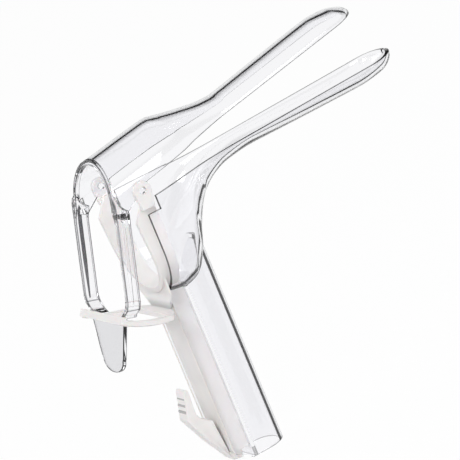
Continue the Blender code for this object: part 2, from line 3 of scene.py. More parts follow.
import bmesh
import bpy
from mathutils import Matrix, Vector

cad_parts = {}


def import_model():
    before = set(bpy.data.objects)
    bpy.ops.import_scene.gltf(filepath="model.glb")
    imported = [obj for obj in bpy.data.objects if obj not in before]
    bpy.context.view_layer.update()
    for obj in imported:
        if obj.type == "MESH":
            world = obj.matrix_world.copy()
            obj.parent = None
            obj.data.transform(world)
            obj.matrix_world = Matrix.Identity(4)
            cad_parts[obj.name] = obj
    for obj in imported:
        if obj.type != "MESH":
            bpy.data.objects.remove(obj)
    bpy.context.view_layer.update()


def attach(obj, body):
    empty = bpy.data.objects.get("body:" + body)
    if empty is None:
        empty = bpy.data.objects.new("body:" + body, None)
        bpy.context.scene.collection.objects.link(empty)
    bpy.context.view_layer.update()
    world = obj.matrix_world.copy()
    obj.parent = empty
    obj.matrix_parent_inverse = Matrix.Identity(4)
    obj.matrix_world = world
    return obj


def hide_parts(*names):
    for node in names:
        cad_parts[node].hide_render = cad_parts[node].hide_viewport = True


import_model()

MM = 0.001

# Overall layout
PIVOT_HEIGHT = 118.5 * MM
UPPER_ANGLE = math.radians(10.4)
LOWER_ANGLE = math.radians(2.2)
SHELL_WALL = 1.6 * MM
SIDE_GAP = 0.3 * MM

# Upper blade and hood, measured from the pivot along the blade
HOOD_HALF = 18.6 * MM
UPPER_EDGE = 1.1 * MM
UPPER_LENGTH = 119.2 * MM
HOOD_CROWN = 15.6 * MM
HOOD_KINK = 24.0 * MM
HOOD_END = 48.5 * MM
BLADE_HALF = 12.0 * MM
UPPER_DEPTH = 6.2 * MM
EAR_RADIUS = 3.7 * MM
PIN_RADIUS = 1.25 * MM
PIN_CLEARANCE = 0.25 * MM

# Rim and lever, in the tilted plane of the hood's front
RIM_TILT = math.radians(16.5)
RIM_REACH = 13.1 * MM
RIM_DEPTH = 5.6 * MM
RIM_WALL = 1.8 * MM
LEVER_HALF = 21.5 * MM
LEG_WALL = 2.6 * MM
LEG_BOTTOM = 44.6 * MM
TAB_HALF = 15.6 * MM
TAB_TIP_HALF = 9.5 * MM
TAB_LENGTH = 20.6 * MM
TAB_THICKNESS = 1.6 * MM
TAB_TIP_ROUND = 5 * MM
GROOVE_DEPTH = 0.6 * MM
WINDOW_ROUND = 9 * MM
WIDENING_START = 1 * MM
WIDENING_LENGTH = 7 * MM

# Lower blade and barrel, measured from the pivot
LOWER_HALF = 20.6 * MM
LOWER_EDGE = -4.3 * MM
LOWER_LENGTH = 127.4 * MM
LOWER_DEPTH = 6.4 * MM
LIP_RISE = 0.8 * MM
BARREL_FRONT = -1.1 * MM
BARREL_DEPTH = 45.6 * MM
BARREL_LIP = 1.0 * MM
NOTCH_END = 4.5 * MM
NOTCH_DEPTH = 5.4 * MM

# Handle
HANDLE_HALF = 9.4 * MM
HANDLE_FRONT = -2.1 * MM
HANDLE_BACK = 22.2 * MM
HANDLE_RISE = 16.0 * MM
PARTITION = 5.6 * MM
SLOT_BELOW = 6 * MM
SLOT_ABOVE = 12 * MM

# Yoke: arms, stem and ratchet shelf
BOSS_RADIUS = 3.8 * MM
BOSS_THICKNESS = 2.4 * MM
ARM_THICKNESS = 1.9 * MM
ARM_FRONT = -4.0 * MM
ARM_BACK = 3.2 * MM
ARM_BULGE = 2.3 * MM
TAB_DROP = 7.3 * MM
STEM_WALL = 1.8 * MM
STEM_FLANGE = 7.0 * MM
STEM_BOTTOM = 5.0 * MM
SHELF_WIDTH = 3.6 * MM
SHELF_WALL = 1.8 * MM
SHELF_HEIGHT = 3.0 * MM
SHELF_SKIRT = 2.2 * MM
SHELF_ARC_END = 8.2 * MM

# Thumb latch
LATCH_HALF = 4.0 * MM
LATCH_HINGE_HEIGHT = 5.2 * MM
LATCH_HEEL = (-13.2 * MM, 24.0 * MM)
LATCH_TOP = (-9.4 * MM, 36.0 * MM)
LATCH_CROTCH = (-3.3 * MM, 19.5 * MM)
RIB_COUNT = 3
RIB_PITCH = 2.6 * MM
RIB_RADIUS = 0.8 * MM
RIB_START = 3.4 * MM
RIB_INSET = 0.8 * MM

# Material slots of the faces
FACE, EDGE, GROOVE, PRESS, LIGHT, INNER = 0, 1, 2, 3, 4, 5

# Facets, rounded edges, and how far a cutter reaches past what it cuts
ARC_STEPS = 72
FINE_STEPS = 24
ROUND_SEGMENTS = 2
ROUND_ANGLE = math.radians(35)
SHARP_ANGLE = math.radians(18)
EDGE_ROUND = 0.35 * MM
CUT_OVER = 1 * MM

# Roundness of a section: 2 is an ellipse, and more is squarer
ARCH_POWER = 2.0
TROUGH_POWER = 2.2

PIVOT_Y = -PARTITION - SHELL_WALL / 2
HANDLE_TOP = PIVOT_HEIGHT - BARREL_DEPTH + HANDLE_RISE

# Colours of the clear plastic: seen face-on, seen edge-on, and darkest; the last two are painted shade
CLEAR_FACE = (0.94, 0.94, 0.955)
CLEAR_SIDE_SHADE = (0.2, 0.2, 0.21)
CLEAR_DARKEST_SHADE = (0.02, 0.02, 0.022)
# Painted shade of the dark lines that inner walls, bores and grooves show
LINE_SHADE = (0.01, 0.01, 0.012)

# Camera, as fitted to the photograph: its turn, its place from the pivot and its lens
CAMERA_AZIMUTH = math.radians(67.53228)
CAMERA_ELEVATION = math.radians(13.79566)
CAMERA_ROLL = math.radians(-22.37589)
CAMERA_PLACE = (1056.898 * MM, -401.435 * MM, 245.635 * MM)
CAMERA_LENS = 235.345
SENSOR_WIDTH = 36.0

# Stage
FLOOR_HALF = 6.0
FLOOR_DROP = 0.0003
FLOOR_GLOW = 0.965
LAMP_GLOSS = 0.3


def add_object(name, bm):
    """Object of a bmesh, with its faces turned out."""
    bmesh.ops.recalc_face_normals(bm, faces=bm.faces[:])
    mesh = bpy.data.meshes.new(name)
    bm.to_mesh(mesh)
    bm.free()
    return placed(name, mesh)


def placed(name, mesh):
    """Object of a mesh, with empty slots for the materials of its faces, edges and grooves."""
    for _ in (FACE, EDGE, GROOVE, PRESS, LIGHT, INNER):
        mesh.materials.append(None)
    item = bpy.data.objects.new(name, mesh)
    bpy.context.collection.objects.link(item)
    return item


def apply_modifiers(item):
    """Puts the evaluated mesh in place of the object's mesh and modifiers."""
    graph = bpy.context.evaluated_depsgraph_get()
    mesh = bpy.data.meshes.new_from_object(item.evaluated_get(graph))
    item.modifiers.clear()
    item.data = mesh


def rounded(item, width, slot, clamp=True):
    """Rounds the sharp edges of a closed mesh; the rounds take the material in the slot."""
    modifier = item.modifiers.new("edges", "BEVEL")
    modifier.width = width
    modifier.segments = ROUND_SEGMENTS
    modifier.limit_method = "ANGLE"
    modifier.angle_limit = ROUND_ANGLE
    modifier.material = slot
    modifier.use_clamp_overlap = clamp
    apply_modifiers(item)
    return item


def painted(item, slot):
    """Gives every face the material in the slot."""
    for face in item.data.polygons:
        face.material_index = slot
    return item


def combine(item, other, operation):
    """Boolean of two closed meshes; the second one is used up."""
    modifier = item.modifiers.new(operation, "BOOLEAN")
    modifier.operation = operation
    modifier.solver = "EXACT"
    modifier.object = other
    apply_modifiers(item)
    bpy.data.objects.remove(other, do_unlink=True)


def prism(name, outline, low, high, place):
    """Closed outline of (a, b) points, extruded from low to high; place maps (a, b, h) to a point."""
    bm = bmesh.new()
    bottom = [bm.verts.new(place(a, b, low)) for a, b in outline]
    top = [bm.verts.new(place(a, b, high)) for a, b in outline]
    count = len(outline)
    for i in range(count):
        j = (i + 1) % count
        bm.faces.new((bottom[i], bottom[j], top[j], top[i]))
    bm.faces.new(bottom)
    bm.faces.new(top)
    return add_object(name, bm)


def across(a, b, h):
    """Outline in the side view (Y, Z), extruded along X."""
    return (h, a, b)


def upright(a, b, h):
    """Outline in plan (X, Y), extruded along Z."""
    return (a, b, h)


def facing(a, b, h):
    """Outline in the front view (X, Z), extruded along Y."""
    return (a, h, b)


def box(name, low, high):
    outline = [(low[0], low[1]), (high[0], low[1]), (high[0], high[1]), (low[0], high[1])]
    return prism(name, outline, low[2], high[2], upright)


def disc_outline(centre, radius, steps):
    turns = [2 * math.pi * i / steps for i in range(steps)]
    return [(centre[0] + radius * math.cos(t), centre[1] + radius * math.sin(t)) for t in turns]


def smooth(rows, at):
    """Value at a place from (place, value) rows, by a curve without overshoot."""
    if at <= rows[0][0]:
        return rows[0][1]
    if at >= rows[-1][0]:
        return rows[-1][1]
    slopes = [(b[1] - a[1]) / (b[0] - a[0]) for a, b in zip(rows, rows[1:])]
    tangents = [slopes[0]]
    for a, b in zip(slopes, slopes[1:]):
        tangents.append(0.0 if a * b <= 0 else 2 * a * b / (a + b))
    tangents.append(slopes[-1])
    i = max(k for k in range(len(rows) - 1) if rows[k][0] <= at)
    width = rows[i + 1][0] - rows[i][0]
    t = (at - rows[i][0]) / width
    start, end = rows[i][1], rows[i + 1][1]
    return ((1 + 2 * t) * (1 - t) ** 2 * start + t * (1 - t) ** 2 * width * tangents[i]
            + t * t * (3 - 2 * t) * end + t * t * (t - 1) * width * tangents[i + 1])


def arch_section(half, height, power, steps=ARC_STEPS):
    """Points (x, h) over an arch that is half wide on each side and height tall."""
    points = []
    for i in range(steps + 1):
        turn = math.pi * i / steps
        c, s = math.cos(turn), math.sin(turn)
        x = -half * math.copysign(abs(c) ** (2 / power), c)
        points.append((x, height * s ** (2 / power)))
    return points


def trough_section(half, depth, steps):
    """Points (x, h) over a trough: straight walls as far as it is deeper than half, then a round bottom."""
    straight = max(depth - half, 0)
    dense = [(-half, straight * i / FINE_STEPS) for i in range(FINE_STEPS)]
    for x, h in arch_section(half, depth - straight, TROUGH_POWER, 4 * FINE_STEPS):
        dense.append((x, straight + h))
    dense += [(half, straight * (1 - i / FINE_STEPS)) for i in range(1, FINE_STEPS + 1)]
    return evenly(dense, steps)


def evenly(points, steps):
    """Points at equal distances along a polyline."""
    reach = [0.0]
    for a, b in zip(points, points[1:]):
        reach.append(reach[-1] + math.dist(a, b))
    result = []
    k = 0
    for i in range(steps + 1):
        goal = reach[-1] * i / steps
        while k < len(points) - 2 and reach[k + 1] < goal:
            k += 1
        share = (goal - reach[k]) / max(reach[k + 1] - reach[k], 1e-12)
        a, b = points[k], points[k + 1]
        result.append((a[0] + (b[0] - a[0]) * share, a[1] + (b[1] - a[1]) * share))
    return result


def shell(name, rows, wall):
    """Open surface through rows of points, thickened inward to an even wall."""
    bm = bmesh.new()
    grid = [[bm.verts.new(p) for p in row] for row in rows]
    for low, high in zip(grid, grid[1:]):
        for i in range(len(low) - 1):
            bm.faces.new((low[i], low[i + 1], high[i + 1], high[i]))
    mesh = bpy.data.meshes.new(name)
    bm.normal_update()
    bm.to_mesh(mesh)
    bm.free()
    item = placed(name, mesh)
    solid = item.modifiers.new("wall", "SOLIDIFY")
    solid.thickness = wall
    solid.offset = -1
    solid.use_even_offset = True
    solid.use_rim = True
    solid.material_offset_rim = EDGE
    solid.material_offset = INNER
    apply_modifiers(item)
    return item


def lofted(name, loops):
    """Closed solid through closed loops with the same number of points, with flat ends."""
    bm = bmesh.new()
    grid = [[bm.verts.new(p) for p in loop] for loop in loops]
    count = len(grid[0])
    for low, high in zip(grid, grid[1:]):
        for i in range(count):
            j = (i + 1) % count
            bm.faces.new((low[i], low[j], high[j], high[i]))
    bm.faces.new(grid[0])
    bm.faces.new(grid[-1])
    return add_object(name, bm)


# Upper blade

RIM_SLOPE = math.tan(RIM_TILT + UPPER_ANGLE)
RIM_FOOT = -RIM_REACH
RIM_HEIGHT = HOOD_CROWN / math.cos(RIM_TILT + UPPER_ANGLE)


def rim_place(height):
    """Place along the blade of the rim's front face at a height above the pivot."""
    return RIM_FOOT + (height - UPPER_EDGE) * RIM_SLOPE


def upper_half(y):
    """Half of the hood's or the blade's width at a place along it."""
    rows = [(0, HOOD_HALF), (HOOD_KINK * 0.6, HOOD_HALF * 0.985), (HOOD_KINK, HOOD_HALF * 0.92),
            (HOOD_END * 0.66, BLADE_HALF * 1.2), (HOOD_END, BLADE_HALF), (UPPER_LENGTH * 0.88, BLADE_HALF)]
    return smooth(rows, y) * tip_share(y, UPPER_LENGTH)


def tip_share(y, length):
    """Share of the blade's width that is left near its round tip."""
    round_length = BLADE_HALF * 1.15
    inside = (y - (length - round_length)) / round_length
    return 1.0 if inside <= 0 else math.sqrt(max(1 - inside ** 2.6, 0.0))


def upper_crown(y):
    """Height of the hood or the blade above its side edges."""
    fall = HOOD_END - HOOD_KINK
    rows = [(0, HOOD_CROWN), (HOOD_KINK, HOOD_CROWN * 0.96), (HOOD_KINK + 0.06 * fall, HOOD_CROWN * 0.93),
            (HOOD_KINK + 0.5 * fall, HOOD_CROWN * 0.67), (HOOD_END, UPPER_DEPTH * 1.08),
            (HOOD_END * 1.12, UPPER_DEPTH * 0.94), (UPPER_LENGTH * 0.65, UPPER_DEPTH),
            (UPPER_LENGTH * 0.86, UPPER_DEPTH * 1.05), (UPPER_LENGTH * 0.94, UPPER_DEPTH * 0.84),
            (UPPER_LENGTH * 0.985, UPPER_DEPTH * 0.45), (UPPER_LENGTH, UPPER_DEPTH * 0.15)]
    return smooth(rows, y)


def blade_places(length, start, steps):
    """Places along a blade, closer together toward its tip."""
    return [start + (length - start) * math.sin(0.5 * math.pi * i / steps) ** 1.15 for i in range(steps)]


def upper_rows():
    """Sections of the upper blade's outer surface, leaning with the rim at its front."""
    rows = []
    for y in blade_places(UPPER_LENGTH * 0.9985, 0, 90):
        lean = max(0.0, 1 - y / HOOD_KINK)
        row = []
        for x, h in arch_section(upper_half(y), upper_crown(y), ARCH_POWER):
            rim = rim_place(UPPER_EDGE + h)
            row.append((x, y + lean * (rim + 1.5 * MM), UPPER_EDGE + h))
        rows.append(row)
    rows.append([(x * 0.3, UPPER_LENGTH, z) for x, y, z in rows[-1]])
    return rows


def plane_point(x, down, out):
    """Point in the rim's tilted plane: across, down the lever, and out behind the plane."""
    tilt = RIM_TILT + UPPER_ANGLE
    y = RIM_FOOT - down * math.sin(tilt) + out * math.cos(tilt)
    z = UPPER_EDGE - down * math.cos(tilt) - out * math.sin(tilt)
    return (x, y, z)


def plane_down(point):
    """How far down the lever a point lies: the reverse of plane_point."""
    tilt = RIM_TILT + UPPER_ANGLE
    return -(point.y - RIM_FOOT) * math.sin(tilt) - (point.z - UPPER_EDGE) * math.cos(tilt)


def plane_side(a, b, h):
    """Outline in the tilted plane's side view (down, out), extruded across."""
    return plane_point(h, a, b)


def rim_arch(half, height):
    """Arch of the hood's rim, in the tilted plane."""
    return [(x, -h) for x, h in arch_section(half, height, ARCH_POWER)]


def lever_outline():
    """Outer outline of the hood's rim, the lever's legs and the tab."""
    height = RIM_HEIGHT + 0.2 * MM
    arch = [(x, d) for x, d in rim_arch(HOOD_HALF + 0.2 * MM, height) if d < -3.2 * MM]
    right = [(LEVER_HALF - 2.2 * MM, -2.6 * MM), (LEVER_HALF - 1.2 * MM, -2.1 * MM),
             (LEVER_HALF - 0.4 * MM, -1.0 * MM), (LEVER_HALF, 0.6 * MM),
             (LEVER_HALF, LEG_BOTTOM - 8 * MM), (LEVER_HALF - 1.2 * MM, LEG_BOTTOM - 5 * MM),
             (TAB_HALF + 0.8 * MM, LEG_BOTTOM - 2.6 * MM), (TAB_HALF, LEG_BOTTOM - 1.2 * MM),
             (TAB_TIP_HALF + 0.8 * MM, LEG_BOTTOM + TAB_LENGTH - 6 * MM)]
    centre = LEG_BOTTOM + TAB_LENGTH - TAB_TIP_ROUND
    tip = []
    for i in range(FINE_STEPS + 1):
        turn = math.pi * i / FINE_STEPS
        tip.append((TAB_TIP_HALF * math.cos(turn), centre + TAB_TIP_ROUND * math.sin(turn)))
    return arch + right + tip + [(-x, d) for x, d in reversed(right)]


def window_outline():
    """The opening in the rim and between the legs, round at its bottom."""
    half = LEVER_HALF - LEG_WALL
    side = LEG_BOTTOM - WINDOW_ROUND
    arch_half = HOOD_HALF - RIM_WALL
    widening = []
    for i in range(9):
        share = i / 8
        blend = share * share * (3 - 2 * share)
        across_half = arch_half + (half - arch_half) * blend
        widening.append((across_half, WIDENING_START + WIDENING_LENGTH * share))
    points = rim_arch(arch_half, RIM_HEIGHT - RIM_WALL) + widening + [(half, side)]
    steps = ARC_STEPS // 2
    for i in range(1, steps):
        turn = math.pi * i / steps
        points.append((half * math.cos(turn), side + WINDOW_ROUND * math.sin(turn)))
    return points + [(-half, side)] + [(-x, d) for x, d in reversed(widening)]


def lever():
    """Rim, legs and tab: a plate in the tilted plane, thinned behind the tab and above the ears."""
    plate = prism("lever", lever_outline(), 0, RIM_DEPTH, plane_point)
    window = prism("window", window_outline(), -CUT_OVER, RIM_DEPTH + CUT_OVER, plane_point)
    combine(plate, window, "DIFFERENCE")
    half, start, end = TAB_HALF + 9 * MM, LEG_BOTTOM - 1.5 * MM, LEG_BOTTOM + TAB_LENGTH + 5 * MM
    behind = [(-half, start), (half, start), (half, end), (-half, end)]
    combine(plate, prism("behind", behind, TAB_THICKNESS, RIM_DEPTH + 2 * MM, plane_point), "DIFFERENCE")
    above, back = -30 * MM, RIM_DEPTH + CUT_OVER
    top = [(above, 2 * MM), (-3.4 * MM, 2 * MM), (-1.6 * MM, 2.2 * MM), (-0.2 * MM, 2.9 * MM),
           (0.9 * MM, 4.1 * MM), (1.6 * MM, RIM_DEPTH), (1.8 * MM, back), (above, back)]
    side = LEVER_HALF + CUT_OVER
    combine(plate, prism("top", top, -side, side, plane_side), "DIFFERENCE")
    rounded(plate, EDGE_ROUND, EDGE, clamp=False)
    large = 50 * MM * MM
    for face in plate.data.polygons:
        if plane_down(face.center) > LEG_BOTTOM and face.area > large:
            face.material_index = PRESS
    for side in (-1, 1):
        combine(plate, leg_groove(side), "DIFFERENCE")
    return plate


def leg_groove(side):
    """Cutter for the long groove on a leg's outer face."""
    near, far = RIM_DEPTH * 0.26, RIM_DEPTH * 0.56
    top, bottom = 0.8 * MM, LEG_BOTTOM - 6.5 * MM
    middle = (near + far) / 2
    outline = [(top + 2 * MM, near), (bottom * 0.6, near), (bottom, middle - 0.3 * MM),
               (bottom + 1 * MM, middle), (bottom, middle + 0.3 * MM), (bottom * 0.6, far),
               (top + 2 * MM, far), (top, middle)]
    low, high = sorted((side * (LEVER_HALF - GROOVE_DEPTH), side * (LEVER_HALF + CUT_OVER)))
    return painted(prism("groove", outline, low, high, plane_side), GROOVE)


def ear(side):
    """Side plate that carries the pivot pin and joins the hood's foot to the lever's leg."""
    inner = HOOD_HALF - SHELL_WALL
    front_top = plane_point(0, 0, RIM_DEPTH - 1 * MM)
    front_low = plane_point(0, 5 * MM, RIM_DEPTH - 1 * MM)
    outline = [(front_top[1], UPPER_EDGE + 0.8 * MM), (front_low[1], front_low[2])]
    for i in range(9):
        turn = math.radians(-150 + 20 * i)
        outline.append((EAR_RADIUS * math.cos(turn), EAR_RADIUS * math.sin(turn)))
    outline.append((EAR_RADIUS + 2 * MM, UPPER_EDGE + 0.8 * MM))
    low, high = sorted((side * inner, side * (HOOD_HALF - 0.1 * MM)))
    plate = prism("ear", outline, low, high, across)
    reach = HOOD_HALF + SIDE_GAP + BOSS_THICKNESS - 0.6 * MM
    low, high = sorted((side * (inner + 0.5 * MM), side * reach))
    combine(plate, prism("pin", disc_outline((0, 0), PIN_RADIUS, 48), low, high, across), "UNION")
    return plate


def upper_blade():
    """Hood and blade, with the rim, the lever and the two ears that carry the pins."""
    body = shell("upper_blade", upper_rows(), SHELL_WALL)
    combine(body, lever(), "UNION")
    for side in (-1, 1):
        combine(body, ear(side), "UNION")
    body.location = (0, PIVOT_Y, PIVOT_HEIGHT)
    body.rotation_euler = (UPPER_ANGLE, 0, 0)
    return body


# Lower blade, barrel and handle

def lower_edge(y):
    """Height of the blade's top edge, which curls up at the tip."""
    curl = max(0.0, (y / LOWER_LENGTH - 0.9) / 0.1)
    return LOWER_EDGE + math.tan(LOWER_ANGLE) * y + LIP_RISE * curl ** 1.5


def lower_half(y):
    """Half of the barrel's or the lower blade's width at a place along it."""
    rows = [(BARREL_FRONT, LOWER_HALF), (NOTCH_END, LOWER_HALF), (12 * MM, LOWER_HALF * 0.93),
            (22 * MM, LOWER_HALF * 0.78), (36 * MM, BLADE_HALF * 1.06), (48 * MM, BLADE_HALF),
            (LOWER_LENGTH * 0.88, BLADE_HALF)]
    return smooth(rows, y) * tip_share(y, LOWER_LENGTH)


def lower_floor(y):
    """Height of the outer surface's lowest line."""
    rows = [(BARREL_FRONT, -BARREL_DEPTH + BARREL_LIP), (6 * MM, -BARREL_DEPTH),
            (12.5 * MM, -BARREL_DEPTH + 1.6 * MM)]
    for place, share in ((16.8, 0.845), (20.2, 0.67), (24.6, 0.497), (29.3, 0.366), (35.2, 0.262)):
        rows.append((place * MM, -BARREL_DEPTH * share))
    blade = ((0.335, 0.97), (0.44, 0.8), (0.63, 0.97), (0.84, 1.12), (0.94, 0.98), (0.985, 0.6), (1, 0.35))
    for share, depth in blade:
        rows.append((LOWER_LENGTH * share, lower_edge(LOWER_LENGTH * share) - LOWER_DEPTH * depth))
    return smooth(rows, y)


def lower_places():
    """Places along the barrel, evenly spaced, and then along the blade."""
    barrel_end = 31 * MM
    barrel = [BARREL_FRONT + (barrel_end - BARREL_FRONT) * i / 50 for i in range(50)]
    return barrel + blade_places(LOWER_LENGTH * 0.9985, barrel_end, 60)


def lower_rows(inset):
    """Sections of the lower blade's outer surface, moved in by inset."""
    rows = []
    for y in lower_places():
        top = lower_edge(y)
        depth = top - lower_floor(y) - inset
        row = []
        for x, h in trough_section(lower_half(y) - inset, depth, ARC_STEPS + 4):
            row.append((x, y, top - h))
        rows.append(row)
    if inset == 0:
        rows.append([(x * 0.3, LOWER_LENGTH, z) for x, y, z in rows[-1]])
    return [[(x, y, z + PIVOT_HEIGHT) for x, y, z in reversed(row)] for row in rows]


def barrel_space():
    """Solid that fills the barrel to the middle of its wall."""
    loops = []
    for row in lower_rows(SHELL_WALL / 2):
        if row[0][1] > 40 * MM:
            break
        lift = Vector((0, 0, 30 * MM))
        loops.append([Vector(row[0]) + lift] + [Vector(p) for p in row] + [Vector(row[-1]) + lift])
    loops[0] = [p - Vector((0, 6 * MM, 0)) for p in loops[0]]
    return lofted("space", loops)


def tube_outline(half, front, back):
    """Plan of the handle: two flat sides and a round back."""
    steps = 56
    centre = back - half
    points = [(-half, front), (half, front)]
    for i in range(steps + 1):
        turn = math.pi * i / steps
        points.append((half * math.cos(turn), centre + half * math.sin(turn)))
    return points


def handle():
    """Tube with an open channel at its front, a partition, and a round bore behind it."""
    tube = prism("handle", tube_outline(HANDLE_HALF, HANDLE_FRONT, HANDLE_BACK), 0, HANDLE_TOP, upright)
    inner = HANDLE_HALF - SHELL_WALL
    plan = tube_outline(inner, PARTITION + SHELL_WALL, HANDLE_BACK - SHELL_WALL)
    bore = painted(prism("bore", plan, -CUT_OVER, HANDLE_TOP - SHELL_WALL, upright), GROOVE)
    combine(tube, bore, "DIFFERENCE")
    ahead = HANDLE_FRONT - CUT_OVER
    channel = [(-inner, ahead), (inner, ahead), (inner, PARTITION), (-inner, PARTITION)]
    combine(tube, prism("channel", channel, -CUT_OVER, HANDLE_TOP + CUT_OVER, upright), "DIFFERENCE")
    corner = [(ahead, -CUT_OVER), (PARTITION - 0.8 * MM, -CUT_OVER), (PARTITION - 1.2 * MM, 0.6 * MM),
              (PARTITION - 3.2 * MM, 2.2 * MM), (HANDLE_FRONT + 1.2 * MM, 4.0 * MM), (ahead, 4.6 * MM)]
    side = HANDLE_HALF + CUT_OVER
    combine(tube, prism("corner", corner, -side, side, across), "DIFFERENCE")
    for face in tube.data.polygons:
        if face.normal.y < -0.9 and face.center.y < 0:
            face.material_index = LIGHT
    combine(tube, barrel_space(), "DIFFERENCE")
    return tube


def lower_blade():
    """Blade and barrel on the handle, notched at the ears and slotted where the stem slides."""
    body = shell("lower_blade", lower_rows(0), SHELL_WALL)
    combine(body, handle(), "UNION")
    low = (-LOWER_HALF - 2 * MM, BARREL_FRONT - 2 * MM, PIVOT_HEIGHT + LOWER_EDGE - NOTCH_DEPTH)
    high = (LOWER_HALF + 2 * MM, NOTCH_END, PIVOT_HEIGHT + 4 * MM)
    combine(body, box("notch", low, high), "DIFFERENCE")
    inner = HANDLE_HALF - SHELL_WALL
    slot_low = (-inner, BARREL_FRONT - 3 * MM, PIVOT_HEIGHT - BARREL_DEPTH - SLOT_BELOW)
    slot_high = (inner, PARTITION, PIVOT_HEIGHT - BARREL_DEPTH + SLOT_ABOVE)
    combine(body, box("slot", slot_low, slot_high), "DIFFERENCE")
    body.location.y = PIVOT_Y
    return body


# Yoke

ARM_OUTER = LOWER_HALF - SHELL_WALL - SIDE_GAP
STEM_HALF = HANDLE_HALF - SHELL_WALL - SIDE_GAP
WEB_HALF = ARM_OUTER * 0.84
YOKE_FLOOR = BARREL_DEPTH - BARREL_LIP - SHELL_WALL - SIDE_GAP


def yoke_band():
    """Two arms that run down the barrel's walls and join in a round bottom."""
    top = EAR_RADIUS + SIDE_GAP
    outer = trough_section(ARM_OUTER, YOKE_FLOOR - top, 2 * ARC_STEPS)
    inner = trough_section(ARM_OUTER - ARM_THICKNESS, YOKE_FLOOR - ARM_THICKNESS - top, 2 * ARC_STEPS)
    outline = [(x, PIVOT_HEIGHT - top - h) for x, h in outer + inner[::-1]]
    ahead = ARM_FRONT - ARM_BULGE
    band = prism("yoke", outline, ahead, ARM_BACK, facing)
    near = ahead - CUT_OVER
    low, high = PIVOT_HEIGHT - YOKE_FLOOR - CUT_OVER, PIVOT_HEIGHT - top + 0.6 * MM
    front = [(near, low), (ARM_FRONT, low)]
    steps = 12
    for i in range(steps + 1):
        share = i / steps
        depth = YOKE_FLOOR + (TAB_DROP + 4 * MM - YOKE_FLOOR) * share
        front.append((ARM_FRONT - ARM_BULGE * share ** 0.8, PIVOT_HEIGHT - depth))
    front += [(ARM_FRONT + 3.4 * MM, high), (near, high)]
    side = ARM_OUTER + CUT_OVER
    combine(band, prism("front", front, -side, side, across), "DIFFERENCE")
    return rounded(band, EDGE_ROUND, FACE)


def boss(side):
    """Round ear with its hole, and the tab that joins it to the arm inside."""
    centre = (0, PIVOT_HEIGHT)
    inner = HOOD_HALF + SIDE_GAP
    outer = inner + BOSS_THICKNESS
    outline = []
    for i in range(41):
        turn = math.radians(-10 + 200 * i / 40)
        outline.append((BOSS_RADIUS * math.cos(turn), PIVOT_HEIGHT + BOSS_RADIUS * math.sin(turn)))
    outline += [(ARM_FRONT + 1.2 * MM, PIVOT_HEIGHT - TAB_DROP),
                (ARM_BACK - 0.6 * MM, PIVOT_HEIGHT - TAB_DROP)]
    low, high = sorted((side * inner, side * outer))
    plate = prism("boss", outline, low, high, across)
    foot_low, foot_high = PIVOT_HEIGHT - TAB_DROP + 0.3 * MM, PIVOT_HEIGHT - EAR_RADIUS - 2 * SIDE_GAP
    foot_front, foot_back = ARM_FRONT + 1.5 * MM, ARM_BACK - 0.9 * MM
    foot = [(foot_front, foot_low), (foot_back, foot_low), (foot_back, foot_high), (foot_front, foot_high)]
    low, high = sorted((side * (ARM_OUTER - 1 * MM), side * (outer - 0.5 * MM)))
    rounded(plate, 0.4 * MM, FACE)
    combine(plate, prism("foot", foot, low, high, across), "UNION")
    hole = disc_outline(centre, PIN_RADIUS + PIN_CLEARANCE, 48)
    low, high = sorted((side * (inner - 0.15 * MM), side * (outer + CUT_OVER)))
    combine(plate, prism("hole", hole, low, high, across), "DIFFERENCE")
    return plate


def front_web():
    """Wall below the band's round bottom, from the band down to the shelf."""
    top = EAR_RADIUS + SIDE_GAP
    half_wall = ARM_THICKNESS / 2
    middle = trough_section(ARM_OUTER - half_wall, YOKE_FLOOR - half_wall - top, 2 * ARC_STEPS)
    rise = [(x, PIVOT_HEIGHT - top - h) for x, h in middle if abs(x) < WEB_HALF]
    shoulder, shoulder_height = WEB_HALF * 0.92, PIVOT_HEIGHT - YOKE_FLOOR - 0.5 * MM
    foot, foot_height = STEM_HALF + 0.6 * MM, PIVOT_HEIGHT - (shelf_start().length + 1.2 * MM)
    outline = rise + [(shoulder, shoulder_height), (foot, foot_height),
                      (-foot, foot_height), (-shoulder, shoulder_height)]
    return prism("web", outline, ARM_FRONT + 0.5 * MM, HANDLE_FRONT - 0.7 * MM, facing)


def stem():
    """Channel that slides in the handle, open toward the back."""
    half, inner = STEM_HALF, STEM_HALF - STEM_WALL
    front = HANDLE_FRONT + 0.4 * MM
    web, back = front + STEM_WALL, front + STEM_FLANGE
    outline = [(-half, front), (half, front), (half, back), (inner, back), (inner, web),
               (-inner, web), (-inner, back), (-half, back)]
    top = PIVOT_HEIGHT - YOKE_FLOOR + 1.2 * MM
    return rounded(prism("stem", outline, STEM_BOTTOM, top, upright), 0.2 * MM, FACE)


def shelf_point(x, turn, radius):
    """Point on the ratchet shelf: across, angle in front of the vertical, and distance from the pivot."""
    return (x, -radius * math.sin(turn), PIVOT_HEIGHT - radius * math.cos(turn))


def shelf_section(left, right, turn, low, high):
    """Corners of a section of the shelf, between two places across and two distances."""
    return [shelf_point(left, turn, low), shelf_point(right, turn, low),
            shelf_point(right, turn, high), shelf_point(left, turn, high)]


def shelf_start():
    """Point of the lever's front face, as (Y, Z) from the pivot, where it meets the shelf."""
    point = plane_point(0, LEG_BOTTOM - 2.0 * MM, 0)
    return Vector((point[1], point[2]))


def shelf_skirt(side, loops, low, high):
    """Wall that hangs from the shelf's outer edge, following the edge of the plate's loops."""
    walls = []
    for loop in loops:
        half = loop[1][0] - 0.5 * MM
        turn = math.atan2(-loop[1][1], PIVOT_HEIGHT - loop[1][2])
        if loop in (loops[0], loops[-1]):
            turn += 0.3 * MM / low
        outer, inner = side * half, side * (half - SHELF_WALL * 0.8)
        walls.append(shelf_section(outer, inner, turn, low, high))
    return lofted("skirt", walls)


